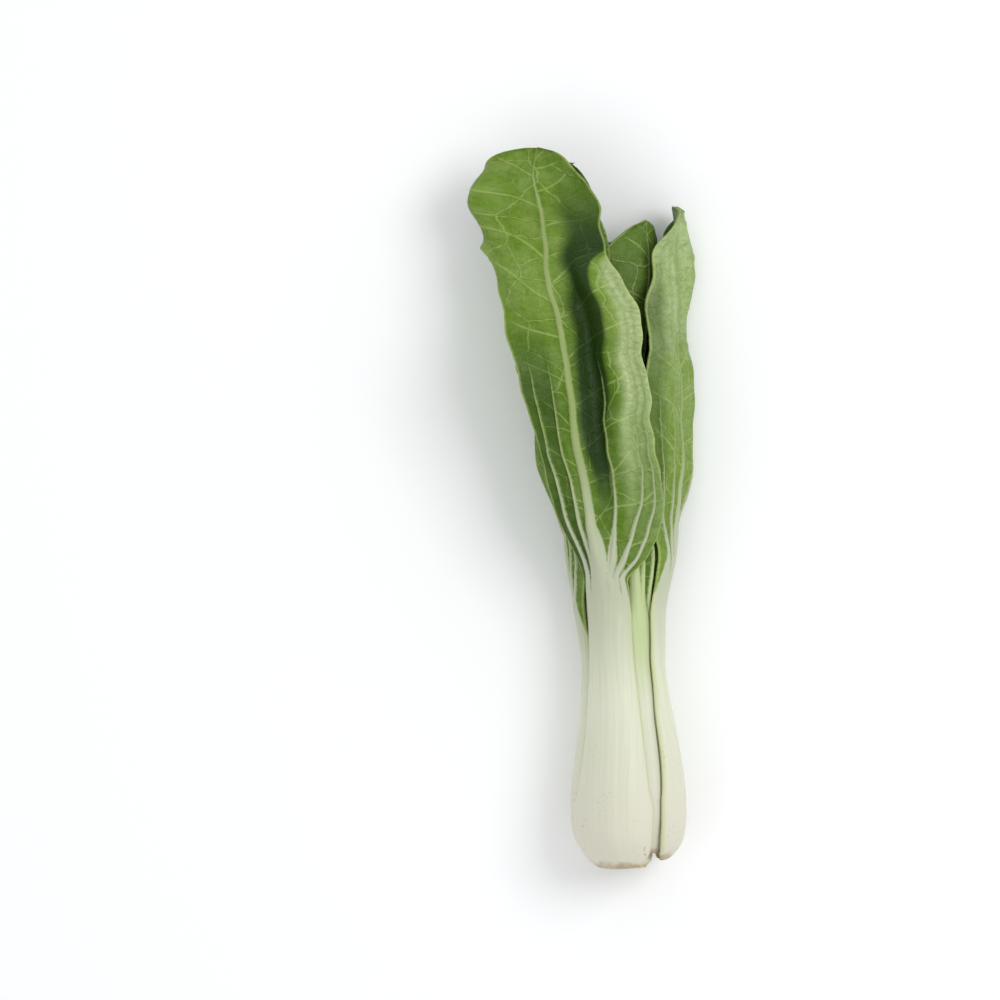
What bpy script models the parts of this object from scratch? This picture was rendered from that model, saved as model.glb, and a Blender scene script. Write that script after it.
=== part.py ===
"""A head of bok choy, lying on its side as cut.

The head is a rosette. A short cone of stem, the crown, carries eleven leaves on a spiral, each
with a thick white stalk, spoon-shaped at its foot, that fans out into the ribs of a green blade.
Each leaf is laid on the leaves inside it: a table holds how far the head reaches so far, in every
direction at every station of its length, and each leaf adds its own thickness to it. So the leaves
nest like the real ones and never meet. A leaf is one grid of cells, of which the stalk and its
ribs take the white ones and the blade takes the rest.
"""

import math
from dataclasses import dataclass

import bpy
import numpy as np

mm = 0.001

# Driving dimensions. The head lies along +Y, with its cut end at the low end of Y and +Z up.
# Stations are heights above the cut end, and angles run from +X (right) towards +Z (up).
FIRST_LEAF_DEG = 110.0
GOLDEN_DEG = 137.5
CLEARANCE = 0.5 * mm  # between a leaf and what it lies on
SEAM = 0.3 * mm  # between a leaf's white solid and its green one
BLADE_THICK = 0.9 * mm
STALK_EDGE_THICK = 1.3 * mm

# The crown, a cone of stem inside the leaf feet.
CROWN_CUT_RADIUS = 8.4 * mm
CROWN_RADIUS = 12.2 * mm
CROWN_TOP_RADIUS = 2.4 * mm
CROWN_HEIGHT = 25 * mm
CROWN_SIDES = 20

# The head's cross-section: round at the stalks, and pressed wide and flat at the blades.
LEAN_STATIONS = (40 * mm, 85 * mm, 130 * mm, 180 * mm, 240 * mm, 291 * mm)
LEAN = (0, -1.9 * mm, -3.4 * mm, -7.3 * mm, -13.5 * mm, -20 * mm)  # the blades' end leans to the left
STALK_STRETCH_X, STALK_STRETCH_Z = 0.93, 0.96
BLADE_STRETCH_X = 2.05
BLADE_STRETCH_TOP, BLADE_STRETCH_BOTTOM = 0.8, 0.56
STRETCH_FROM, STRETCH_TO = 72 * mm, 215 * mm
HOLLOW_STATIONS = (85 * mm, 150 * mm, 200 * mm, 260 * mm, 291 * mm)
HOLLOW = (2.6 * mm, 4.5 * mm, 6.5 * mm, 11.5 * mm, 13 * mm)  # the radius that the leaves' tips leave

# Where the axis lies above the floor, at the cut end and at the far end. The lowest bellies of the
# stalks and of the blades reach a little under the floor here, and are pressed flat on it.
AXIS_HEIGHT_CUT_END = 18.95 * mm
AXIS_HEIGHT_FAR_END = 18.5 * mm
SIDEWAYS_FALL = 0.08  # how far the blades hang down to the right
MIDDLE_X, MIDDLE_Y = -18.4 * mm, 145.5 * mm  # the middle of the head's box, put at the origin

# The table that the leaves are laid up in.
TABLE_LOW, TABLE_HIGH, TABLE_STEP = -4 * mm, 304 * mm, 1 * mm
TABLE_ANGLES = 360
ARC_REACH, ARC_STEP = 75 * mm, 0.5 * mm

# The rows and ribs that divide a leaf between its white solid and its green one.
STALK_ROWS = {
    0: (0, 0.15, 0.4),
    1: (0, 0.06, 0.15, 0.28, 0.43, 0.58, 0.74),
    2: (0, 0.03, 0.08, 0.14, 0.22, 0.33, 0.45, 0.57, 0.69, 0.81),
}
NOTCHES = (-7, 0, 6.5, 13)  # how far past the neck the green begins, from the margin inwards
# Each side rib's share of the half width, at the neck and from a third of the way up the blade.
RIB_SHARES = {
    0: (),
    1: ((0.46, 0.6),),
    2: ((0.3, 0.4), (0.62, 0.76)),
    3: ((0.27, 0.42), (0.5, 0.8), (0.76, 0.92)),
}
RIB_SPREAD_BY = 0.32
RIB_ENDS = {0: (), 1: (0.5,), 2: (0.62, 0.6), 3: (0.6, 0.5, 0.36)}
TIP_HALF_WIDTH = 2.2 * mm

WHITE = (0.80, 0.83, 0.70, 1.0)
CUT_WHITE = (0.72, 0.68, 0.55, 1.0)
LEAF_GREEN = (0.16, 0.33, 0.05, 1.0)
HEART_GREEN = (0.45, 0.60, 0.14, 1.0)


@dataclass(frozen=True)
class Leaf:
    """One leaf. Half widths run along its curve; side + is towards growing angle."""

    rank: int  # 0 is the outermost
    nudge_deg: float  # off the exact spiral, at the foot
    turn_deg: tuple  # how far its midrib swings round, by the blade's middle and by its tip
    foot: float
    neck: float
    tip: float
    stalk_half: float
    neck_half: float
    thick: float
    plus: tuple  # (share of the blade's length, half width in mm), up to where it starts to round off
    minus: tuple
    loose: float  # how far the blade stands off the leaves inside it
    ribs: tuple  # side ribs on the sides + and -
    blade_rows: int
    phase: float

    @property
    def base_deg(self):
        return FIRST_LEAF_DEG - GOLDEN_DEG * self.rank + self.nudge_deg


def even(low, middle, top, top_at=0.72):
    """One side of a blade that widens evenly and then rounds off."""
    return ((0.16, low), (0.45, middle), (top_at, top))


# The outermost leaf flares high up on its left, and ends in a lobe low down on its right.
FLARED = ((0.16, 13), (0.45, 14.5), (0.62, 17.5), (0.74, 22), (0.83, 26.5))
LOBED = (
    (0.06, 20), (0.12, 26), (0.17, 28), (0.28, 26), (0.45, 26.5), (0.62, 26), (0.7, 22.5),
    (0.765, 18), (0.85, 17.5),
)
# The second leaf is folded along its midrib, which is the head's right edge.
CLASPING = ((0.16, 18.5), (0.3, 21), (0.5, 23.5), (0.7, 21), (0.84, 15.5))


def leaf(rank, nudge, turn, lengths, stalk, sides, loose, ribs, rows, phase):
    """A leaf from sizes in millimetres."""
    foot, neck, tip = (v * mm for v in lengths)
    stalk_half, neck_half, thick = (v * mm for v in stalk)
    return Leaf(
        rank, nudge, turn, foot, neck, tip, stalk_half, neck_half, thick,
        *sides, loose * mm, ribs, rows, phase,
    )


def both(*widths):
    """The two sides of a blade that is as wide on both."""
    return even(*widths), even(*widths)


LEAVES = [
    leaf(0, 0, (-8.5, 2), (0.6, 116, 291), (16.8, 8.8, 7.0), (FLARED, LOBED), 3.6, (2, 3), 17, 0.7),
    leaf(1, 29, (3, 3), (3.4, 124, 268), (17.2, 11.0, 6.0),
         (CLASPING, even(17, 20, 20, 0.8)), 1.4, (2, 2), 15, 0.6),
    leaf(2, 12, (-16, -16), (3.2, 106, 250), (16.4, 10.0, 6.4),
         (even(16, 20, 22), even(17, 23, 25)), 1.8, (2, 2), 15, 0.67),
    leaf(3, 0, (34, 39), (6.4, 104, 285), (15.8, 8.6, 6.0),
         (even(16, 19, 20), even(13, 13, 9)), 2.2, (2, 2), 15, 0.8),
    leaf(4, 0, (6, 6), (7.0, 110, 254), (15.8, 8.0, 6.0), both(19, 24, 26), 2.0, (2, 2), 15, 0.5),
    leaf(5, 0, (8, 8), (8.5, 108, 243), (14.6, 7.6, 5.4),
         (even(16, 20, 22), even(15, 20, 23)), 2.2, (2, 2), 14, 0.0),
    leaf(6, 0, (30, 34), (10.0, 104, 262), (13.0, 7.0, 5.0),
         (even(15, 20, 21), even(13, 17, 20)), 2.2, (1, 1), 15, 0.4),
    leaf(7, 0, (4, 4), (12.0, 94, 214), (11.2, 6.3, 4.4), both(12, 16, 18), 1.8, (1, 1), 12, 0.7),
    leaf(8, 0, (8, 8), (14.0, 78, 170), (8.8, 5.2, 3.6), both(8, 11, 12), 1.8, (1, 1), 10, 0.2),
    leaf(9, 0, (6, 6), (16.0, 60, 126), (6.6, 4.2, 2.8), both(6, 8, 8.5), 0.9, (1, 1), 8, 0.9),
    leaf(10, 0, (0, 0), (18.0, 44, 92), (4.6, 3.0, 2.2), both(3.8, 4.8, 5), 0.5, (0, 0), 7, 0.5),
]
SPRING = 6 * mm  # how far the second leaf's tip springs clear of the head


def ease(x, low, high):
    """0 below low, 1 above high, and smooth between."""
    t = np.clip((np.asarray(x, float) - low) / (high - low), 0, 1)
    return t * t * (3 - 2 * t)


def through(x, stations, values):
    """A smooth curve through the stations that never overshoots them."""
    xs, ys = np.asarray(stations, float), np.asarray(values, float)
    slopes = np.diff(ys) / np.diff(xs)
    tangents = np.zeros(len(xs))
    for i in range(1, len(xs) - 1):
        if slopes[i - 1] * slopes[i] > 0:
            tangents[i] = 2 * slopes[i - 1] * slopes[i] / (slopes[i - 1] + slopes[i])
    x = np.clip(x, xs[0], xs[-1])
    i = np.clip(np.searchsorted(xs, x, side="right") - 1, 0, len(xs) - 2)
    h = xs[i + 1] - xs[i]
    t = (x - xs[i]) / h
    return (
        ys[i] * (1 + 2 * t) * (1 - t) ** 2
        + ys[i + 1] * t * t * (3 - 2 * t)
        + h * t * (1 - t) * (tangents[i] * (1 - t) - tangents[i + 1] * t)
    )


def crown_radius(y):
    """The crown swells a little above its cut, then tapers to the growing tip."""
    swell = through(y, (0, 3 * mm, 8 * mm), (CROWN_CUT_RADIUS, 0.9 * CROWN_RADIUS, CROWN_RADIUS))
    taper = ease(y, 2 * mm, CROWN_HEIGHT)
    return swell + (CROWN_TOP_RADIUS - CROWN_RADIUS) * taper


def heart_radius(y):
    """The crown's radius, and above it that of the hollow in the middle of the head."""
    return np.maximum(crown_radius(y), through(y, HOLLOW_STATIONS, HOLLOW))


def stretches(y, theta):
    """How much the cross-section is stretched across and up, at this station and angle."""
    flat = ease(y, STRETCH_FROM, STRETCH_TO)
    across = STALK_STRETCH_X + (BLADE_STRETCH_X - STALK_STRETCH_X) * flat
    end = np.where(np.sin(theta) > 0, BLADE_STRETCH_TOP, BLADE_STRETCH_BOTTOM)
    return across, STALK_STRETCH_Z + (end - STALK_STRETCH_Z) * flat


def place(y, theta, radius):
    """The point in space at this station, angle and radius."""
    across, up = stretches(y, theta)
    middle = through(y, LEAN_STATIONS, LEAN) - MIDDLE_X
    height = AXIS_HEIGHT_CUT_END + (AXIS_HEIGHT_FAR_END - AXIS_HEIGHT_CUT_END) * y / LEAVES[0].tip
    off = across * radius * np.cos(theta)
    height = height - SIDEWAYS_FALL * ease(y, STRETCH_FROM, STRETCH_TO) * off
    return np.stack([middle + off, y - MIDDLE_Y + 0 * off, height + up * radius * np.sin(theta)], -1)


def radial(y, theta, thickness):
    """The step in radius that is this thick, measured square to the stretched section."""
    across, up = stretches(y, theta)
    return thickness * np.sqrt((np.cos(theta) / across) ** 2 + (np.sin(theta) / up) ** 2)


def midline(part, y):
    """The angle of the leaf's midrib, which swings round on the way up."""
    settled = part.neck + 0.45 * (part.tip - part.neck)
    first, last = part.turn_deg
    turn = first * ease(y, 60 * mm, settled) + (last - first) * ease(y, settled, part.tip)
    return np.radians(part.base_deg + turn)


def stalk_half_width(part, y):
    """The spoon at the foot, narrowing to the neck."""
    belly = part.foot + 24 * mm * part.stalk_half / LEAVES[0].stalk_half
    below = np.clip((belly - y) / (belly - part.foot), 0, 1)
    above = np.clip((y - belly) / (part.neck - belly), 0, 1)
    spoon = part.stalk_half * np.sqrt(1 - (0.945 * below) ** 3.6)
    return part.neck_half + (spoon - part.neck_half) * (1 - above) ** 2.3


def half_width(part, y, side):
    """Half the leaf's width along its curve on one side, +1 or -1, from foot to rounded tip."""
    shares, halves = zip(*(part.plus if side > 0 else part.minus))
    t = np.clip((y - part.neck) / (part.tip - part.neck), 0, 1)
    blade = through(t, (0, *shares), (part.neck_half, *(v * mm for v in halves)))
    end = np.clip((t - shares[-1]) / (1 - shares[-1]), 0, 1)
    round_end = np.sqrt(np.clip(1 - end**2, 0, 1))
    return np.where(y < part.neck, stalk_half_width(part, y), blade * round_end)


def rib_height(part, y):
    """The thickness of stalk and midrib at the middle."""
    foot_run = 17 * mm
    rise = np.clip((y - part.foot) / foot_run, 0, 1)
    foot = 0.36 + 0.64 * np.sqrt(1 - (1 - rise) ** 2)
    stalk = part.thick * foot * (1 - 0.34 * ease(y, part.foot + foot_run, part.neck))
    t = np.clip((y - part.neck) / (part.tip - part.neck), 0, 1)
    midrib = part.thick * 0.66 * (1 - t) ** 0.8 * (1 - 0.35 * ease(t, 0, 0.25))
    return np.maximum(np.where(y < part.neck, stalk, midrib), BLADE_THICK * 1.15)


def edge_thickness(part, y):
    return STALK_EDGE_THICK + (BLADE_THICK - STALK_EDGE_THICK) * ease(y, part.neck * 0.6, part.neck)


def lift(part, y, s):
    """How far the leaf stands off the leaves inside it, with its folds and waved margins."""
    side = np.where(s >= 0, 1.0, -1.0)
    wide = np.where(s >= 0, half_width(part, y, 1), half_width(part, y, -1))
    v = np.clip(np.abs(s) / np.maximum(wide, 2 * mm), 0, 1)
    t = np.clip((y - part.neck) / (part.tip - part.neck), 0, 1)
    open_up = part.loose * ease(t, 0.0, 0.45)
    wave = np.sin(2 * math.pi * (2.6 * t + part.phase + 0.23 * side))
    sway = np.sin(2 * math.pi * (1.1 * t + 0.6 * part.phase) + 2.2 * side * v)
    off = open_up * (1 + 0.22 * sway + 0.55 * v * v * wave + 0.35 * v**3)
    if part.rank == 0:
        valley = np.exp(-(((v - 0.3) / 0.14) ** 2))
        ridge = np.exp(-(((v - 0.6) / 0.17) ** 2))
        fold = (2.0 * ridge - 0.95 * valley) * ease(t, 0.05, 0.3) * (1 - ease(t, 0.66, 0.8))
        flare = 8 * mm * ease(v, 0.3, 0.75) * np.exp(-(((t - 0.885) / 0.075) ** 2))
        off = off + np.where(s < 0, open_up * fold, flare)
    if part.rank == 1:
        off = off + SPRING * ease(t, 0.82, 1.0)
    return np.maximum(off, 0)


def body_height(part, y, s):
    """The broad swelling of stalk and midrib above the leaf's edge thickness."""
    wide = np.where(y < part.neck, stalk_half_width(part, y), part.neck_half)
    swell = np.clip(1 - (s / wide) ** 2, 0, 1) ** 0.85
    return np.maximum(rib_height(part, y) - edge_thickness(part, y), 0) * swell


def bridged(reach):
    """The reach with its dips filled, as a leaf that lies over them spans them."""
    for _ in range(30):
        near = np.roll(reach, 3, axis=1) + np.roll(reach, -3, axis=1)
        padded = np.pad(reach, ((1, 1), (0, 0)), mode="edge")
        reach = np.maximum(reach, (near + padded[2:] + padded[:-2]) / 4)
    padded = np.pad(reach, ((1, 1), (0, 0)), mode="edge")
    return np.maximum(reach, np.maximum(padded[2:], padded[:-2]))


def side_rib_height(part, y):
    """How far the side ribs stand above the blade, growing out of the stalk at the neck."""
    t = np.clip((y - part.neck) / (part.tip - part.neck), 0, 1)
    rib = 1.5 * mm * (1 - 0.8 * t) * part.thick / LEAVES[0].thick
    return np.minimum(rib, 0.7 * (rib_height(part, y) - edge_thickness(part, y)))


class Layup:
    """The table of how far the head reaches so far, and the leaf that is laid on it next."""

    def __init__(self):
        self.y = np.arange(TABLE_LOW, TABLE_HIGH + TABLE_STEP / 2, TABLE_STEP)[:, None]
        self.theta = np.radians(np.arange(TABLE_ANGLES) * 360 / TABLE_ANGLES)[None, :]
        self.reach = heart_radius(self.y) + 0.2 * mm + 0 * self.theta

    def arcs(self, part):
        """The signed length along the curve from the leaf's midline, and half the way round."""
        points = place(self.y + 0 * self.theta, self.theta + 0 * self.y, self.reach)
        steps = np.linalg.norm(np.roll(points, -1, axis=1) - points, axis=2)
        run = np.concatenate([np.zeros((len(self.y), 1)), np.cumsum(steps, axis=1)], axis=1)
        around = run[:, -1:]
        turn = np.mod(midline(part, self.y), 2 * math.pi) * TABLE_ANGLES / (2 * math.pi)
        i = np.floor(turn).astype(int) % TABLE_ANGLES
        low = np.take_along_axis(run, i, axis=1)
        high = np.take_along_axis(run, i + 1, axis=1)
        mid = low + (high - low) * (turn - np.floor(turn))
        return np.mod(run[:, :-1] - mid + around / 2, around) - around / 2, around / 2

    def sheet_of(self, part):
        """A function that gives the leaf's point at (station, arc, height above its inner face)."""
        arcs, _ = self.arcs(part)
        grid = np.arange(-ARC_REACH, ARC_REACH + ARC_STEP / 2, ARC_STEP)
        angles = np.empty((len(self.y), len(grid)))
        radii = np.empty_like(angles)
        for row in range(len(self.y)):
            order = np.argsort(arcs[row])
            turned = np.unwrap(self.theta[0, order])
            middle = float(midline(part, self.y[row, 0]))
            turned += 2 * math.pi * round((middle - np.interp(0, arcs[row, order], turned)) / (2 * math.pi))
            angles[row] = np.interp(grid, arcs[row, order], turned)
            radii[row] = np.interp(grid, arcs[row, order], self.reach[row, order])

        def point(y, s, height):
            at = (y - TABLE_LOW) / TABLE_STEP
            i = np.clip(np.floor(at).astype(int), 0, len(angles) - 2)
            across = (s + ARC_REACH) / ARC_STEP
            j = np.clip(np.floor(across).astype(int), 0, len(grid) - 2)
            f, g = at - i, across - j
            weights = ((1 - f) * (1 - g), (1 - f) * g, f * (1 - g), f * g)
            corners = ((i, j), (i, j + 1), (i + 1, j), (i + 1, j + 1))
            theta = sum(w * angles[c] for w, c in zip(weights, corners))
            radius = sum(w * radii[c] for w, c in zip(weights, corners))
            radius = radius + radial(y, theta, CLEARANCE + height + lift(part, y, s))
            return place(y, theta, radius)

        return point

    def add(self, part):
        """Lays the leaf on, easing the reach down beyond its margins."""
        s, half_round = self.arcs(part)
        y = np.clip(self.y, part.foot, part.tip)
        wide = np.where(s >= 0, half_width(part, y, 1), half_width(part, y, -1))
        wide = wide - np.maximum(self.y - part.tip, 0) - 5 * np.maximum(part.foot - 1 * mm - self.y, 0)
        soft = 4.5 * mm + 10 * mm * ease(self.y, part.neck, part.neck + 60 * mm)
        soft = np.clip(soft, 1 * mm, np.maximum(0.9 * (half_round - wide), 1 * mm))
        cover = ease(wide - np.abs(s), -soft, 0)
        inside = np.clip(s, -half_width(part, y, -1), half_width(part, y, 1))
        edge = radial(self.y, self.theta, CLEARANCE + edge_thickness(part, y) + lift(part, y, inside))
        fade = ease(self.y, part.foot - 5 * mm, part.foot) * (1 - ease(self.y, part.tip, part.tip + 10 * mm))
        fan = ease(y, part.neck - 7 * mm, part.neck + 13 * mm) * ease(wide - np.abs(s), 0, 3 * mm)
        body = np.maximum(body_height(part, y, s), side_rib_height(part, y) * fan)
        body = radial(self.y, self.theta, body) * fade
        self.reach = bridged(self.reach + cover * edge + body)


def rows_of(part):
    """The stations of the leaf's rows along its midline, and how far each rises to the margin."""
    stalk = [part.foot + (part.neck - part.foot) * f for f in STALK_ROWS[min(part.ribs[0], 2)]]
    notch = [part.neck + d * mm * part.neck / LEAVES[0].neck for d in NOTCHES]
    share = np.linspace(0, 1, part.blade_rows + 1)[1:]
    blade = notch[-1] + (part.tip - notch[-1]) * (1 - (1 - share) ** 1.35)
    stations = np.array(stalk + notch + list(blade))
    t = np.clip((stations - part.neck) / (part.tip - part.neck), 0, 1)
    rise = 0.075 * (part.tip - part.neck) * ease(t, 0.05, 0.35) * (1 - ease(t, 0.6, 1.0))
    return stations, rise


def rib_half(part, y):
    """Half the width of a side rib."""
    t = np.clip((y - part.neck) / (part.tip - part.neck), 0, 1)
    return np.maximum(1.2 - 1.8 * t, 0.4) * mm * (part.thick / LEAVES[0].thick) ** 0.5


def columns_at(part, y, side):
    """The arcs of the leaf's columns on one side at a station, from the midrib to the margin."""
    wide = half_width(part, y, side)
    t = np.clip((y - part.neck) / (part.tip - part.neck), 0, 1)
    midrib = np.minimum((2.6 - 2.0 * t**0.6) * mm * (part.thick / LEAVES[0].thick), 0.3 * wide)
    marks = [0, midrib]
    count = part.ribs[0 if side > 0 else 1]
    spread = ease(t, 0, RIB_SPREAD_BY)
    for low, high in RIB_SHARES[count]:
        at = low + (high - low) * spread
        half = np.minimum(rib_half(part, y), 0.06 * wide)
        marks += [wide * at - half, wide * at + half]
    if count == 0:
        marks.append(0.6 * wide)
    marks.append(wide)
    level = wide * np.linspace(0, 1, len(marks))
    fan = ease(y, part.neck - 18 * mm, part.neck + 4 * mm)
    return [(1 - fan) * plain + fan * fanned for plain, fanned in zip(level, marks)]


def middle_column(part):
    """The column of the grid that runs up the midrib."""
    return len(columns_at(part, part.tip, -1)) - 1


def leaf_grid(part):
    """(stations, arcs) of every corner of the leaf's grid, rows from foot to tip."""
    stations, rise = rows_of(part)
    ys, arcs = [], []
    for station, up in zip(stations, rise):
        row_y, row_s = [], []
        left, right = (len(columns_at(part, station, side)) - 1 for side in (-1, 1))
        for column in range(-left, right + 1):
            side = 1 if column >= 0 else -1
            flat = columns_at(part, station, side)
            share = flat[abs(column)] / max(flat[-1], 1 * mm)
            y = min(station + up * share**1.2, part.tip)
            row_y.append(y)
            row_s.append(side * float(columns_at(part, y, side)[abs(column)]))
        ys.append(row_y)
        arcs.append(row_s)
    arcs[-1] = list(np.linspace(-1, 1, len(arcs[-1])) * TIP_HALF_WIDTH)
    return np.array(ys), np.array(arcs)


def white_cells(part, shape):
    """Which cells of the grid are white: the stalk, the midrib, and the ribs that fan from the neck."""
    rows, columns = shape[0] - 1, shape[1] - 1
    stations, _ = rows_of(part)
    white = np.zeros((rows, columns), bool)
    middle = middle_column(part)
    first_notch = len(STALK_ROWS[min(part.ribs[0], 2)])
    t = (stations - part.neck) / (part.tip - part.neck)
    for row in range(rows):
        for column in range(columns):
            out = column - middle if column >= middle else middle - 1 - column
            ribs = part.ribs[0 if column >= middle else 1]
            rib, between = divmod(out - 1, 2)
            if out == 0:
                white[row, column] = t[row + 1] < 0.86
            elif between == 1 and rib < ribs:
                white[row, column] = t[row + 1] < RIB_ENDS[ribs][rib]
            else:
                outermost = out >= 1 + 2 * ribs
                low = 0 if outermost else ribs - (out - 1) // 2
                white[row, column] = row < first_notch + low
    return white


def cell_solid(corner, member, other):
    """Vertices and faces of a solid made of the member cells, both faces and the walls round them.

    corner(i, j, di, dj) gives the inner and outer point of a grid corner, moved by a seam's half
    towards the side (di, dj) where the corner borders the other solid's cells.
    """
    rows, columns = member.shape
    vertices, index, faces = [], {}, []

    def has(cells, i, j):
        return 0 <= i < rows and 0 <= j < columns and bool(cells[i, j])

    def at(i, j):
        if (i, j) in index:
            return index[i, j]
        near = ((i - 1, j - 1), (i - 1, j), (i, j - 1), (i, j))
        di = dj = 0
        if any(has(other, *cell) for cell in near):
            own = [has(member, *cell) for cell in near]
            di = own[2] + own[3] - own[0] - own[1]
            dj = own[1] + own[3] - own[0] - own[2]
        inner, outer = corner(i, j, np.sign(di), np.sign(dj))
        index[i, j] = len(vertices)
        vertices.extend([tuple(inner), tuple(outer)])
        return index[i, j]

    def halves(ring):
        """A cell's two triangles, parted along the diagonal that stands further out."""
        inner = [np.array(vertices[v]) for v in ring]
        outer = [np.array(vertices[v + 1]) for v in ring]
        out = sum(outer) - sum(inner)
        if np.dot(inner[0] + inner[2] - inner[1] - inner[3], out) < 0:
            ring = ring[1:] + ring[:1]
        a, b, c, d = ring
        return (a, b, c), (a, c, d)

    for i in range(rows):
        for j in range(columns):
            if not member[i, j]:
                continue
            ring = [at(i, j), at(i, j + 1), at(i + 1, j + 1), at(i + 1, j)]
            for half in halves(ring):
                faces.append([v + 1 for v in reversed(half)])
                faces.append(list(half))
            beyond = ((i - 1, j), (i, j + 1), (i + 1, j), (i, j - 1))
            for side, cell in enumerate(beyond):
                if not has(member, *cell):
                    a, b = ring[side], ring[(side + 1) % 4]
                    faces.append([b, a, a + 1, b + 1])
    return vertices, faces


def make_object(name, vertices, faces, material):
    mesh = bpy.data.meshes.new(name)
    mesh.from_pydata([tuple(v) for v in vertices], [], faces)
    mesh.validate()
    obj = bpy.data.objects.new(name, mesh)
    obj.data.materials.append(material)
    bpy.context.scene.collection.objects.link(obj)
    mesh.shade_smooth()
    mesh.set_sharp_from_angle(angle=math.radians(50))
    return obj


def make_material(name, colour, roughness):
    material = bpy.data.materials.new(name)
    material.use_nodes = True
    shader = material.node_tree.nodes["Principled BSDF"]
    shader.inputs["Base Color"].default_value = colour
    shader.inputs["Roughness"].default_value = roughness
    material.diffuse_color = colour
    return material


def make_leaf(part, point, white_material, green_material):
    """The leaf's white solid and its green one, from one grid."""
    ys, arcs = leaf_grid(part)
    white = white_cells(part, ys.shape)
    middle = middle_column(part)

    def corner_of(is_white):
        def corner(i, j, di, dj):
            half = SEAM / 2
            y = float(np.clip(ys[i, j] + di * half, part.foot, part.tip))
            s = arcs[i, j] + dj * half
            edge = float(edge_thickness(part, y))
            if y < part.neck - 7 * mm:
                height = edge + float(body_height(part, y, arcs[i, j]))
            elif is_white:
                ridge = float(rib_height(part, y)) - edge
                height = edge + (ridge if j == middle else float(side_rib_height(part, y)))
                solid = edge + float(body_height(part, y, arcs[i, j]))
                fan = float(ease(y, part.neck - 7 * mm, part.neck + 13 * mm))
                height = (1 - fan) * solid + fan * height
            else:
                height = edge
            pair = point(np.array([y, y]), np.array([s, s]), np.array([0.0, height]))
            pair[:, 2] = np.maximum(pair[:, 2], 0)
            return pair

        return corner

    name = f"leaf_{part.rank + 1:02d}"
    make_object(f"{name}_stalk", *cell_solid(corner_of(True), white, ~white), white_material)
    make_object(f"{name}_blade", *cell_solid(corner_of(False), ~white, white), green_material)


def make_crown(material):
    """A turned cone, stretched as the head's section is, with its cut face at the low end."""
    stations = [v * mm for v in (0, 1.2, 3, 6, 9, 12, 15, 17.5, 19.5, 21.5, 23.2)] + [CROWN_HEIGHT]
    vertices, faces = [], []
    for y in stations:
        for k in range(CROWN_SIDES):
            theta = 2 * math.pi * k / CROWN_SIDES
            vertices.append(tuple(place(y, theta, crown_radius(y))))
    for row in range(len(stations) - 1):
        for k in range(CROWN_SIDES):
            a, b = row * CROWN_SIDES + k, row * CROWN_SIDES + (k + 1) % CROWN_SIDES
            faces.append([b, a, a + CROWN_SIDES, b + CROWN_SIDES])
    faces.append(list(range(CROWN_SIDES)))
    faces.append([(len(stations) - 1) * CROWN_SIDES + k for k in reversed(range(CROWN_SIDES))])
    return make_object("crown", vertices, faces, material)


def main():
    for obj in list(bpy.data.objects):
        bpy.data.objects.remove(obj)
    white = make_material("stalk_white", WHITE, 0.42)
    cut = make_material("crown_cut", CUT_WHITE, 0.6)
    green = make_material("blade_green", LEAF_GREEN, 0.45)
    pale_green = make_material("heart_green", HEART_GREEN, 0.5)
    make_crown(cut)
    layup = Layup()
    for part in reversed(LEAVES):
        make_leaf(part, layup.sheet_of(part), white, pale_green if part.rank >= 8 else green)
        layup.add(part)


main()
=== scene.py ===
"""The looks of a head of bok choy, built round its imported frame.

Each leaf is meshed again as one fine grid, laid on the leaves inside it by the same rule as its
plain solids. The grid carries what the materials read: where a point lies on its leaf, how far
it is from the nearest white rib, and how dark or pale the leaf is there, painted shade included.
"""

import math
from dataclasses import dataclass

import bpy
import numpy as np
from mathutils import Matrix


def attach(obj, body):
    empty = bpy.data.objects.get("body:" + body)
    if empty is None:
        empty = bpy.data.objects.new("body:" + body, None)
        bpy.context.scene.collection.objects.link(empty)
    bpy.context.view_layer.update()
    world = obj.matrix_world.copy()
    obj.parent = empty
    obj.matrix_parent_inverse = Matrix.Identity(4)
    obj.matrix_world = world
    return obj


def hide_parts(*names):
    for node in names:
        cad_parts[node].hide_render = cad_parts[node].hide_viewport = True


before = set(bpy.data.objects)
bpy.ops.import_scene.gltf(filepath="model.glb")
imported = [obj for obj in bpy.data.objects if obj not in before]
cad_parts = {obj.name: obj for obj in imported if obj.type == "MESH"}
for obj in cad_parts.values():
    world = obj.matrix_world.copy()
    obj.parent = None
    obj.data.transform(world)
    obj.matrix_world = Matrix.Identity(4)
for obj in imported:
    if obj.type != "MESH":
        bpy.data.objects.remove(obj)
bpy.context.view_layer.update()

mm = 0.001
TURN = 2 * math.pi
BODY = "root"

# Driving dimensions. The head lies along +Y, with its cut end at the low end of Y and +Z up.
# Stations are heights above the cut end, and angles run from +X (right) towards +Z (up).
FIRST_LEAF_DEG = 110.0
GOLDEN_DEG = 137.5
CLEARANCE = 0.5 * mm  # between a leaf and what it lies on
BLADE_THICK = 0.9 * mm
STALK_EDGE_THICK = 1.3 * mm
CELL = 1.0 * mm  # side of a cell of the fine grids
TIP_HALF_WIDTH = 2.2 * mm

# The crown, a cone of stem inside the leaf feet.
CROWN_CUT_RADIUS = 8.4 * mm
CROWN_RADIUS = 12.2 * mm
CROWN_TOP_RADIUS = 2.4 * mm
CROWN_HEIGHT = 25 * mm
CROWN_SIDES = 96

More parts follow.
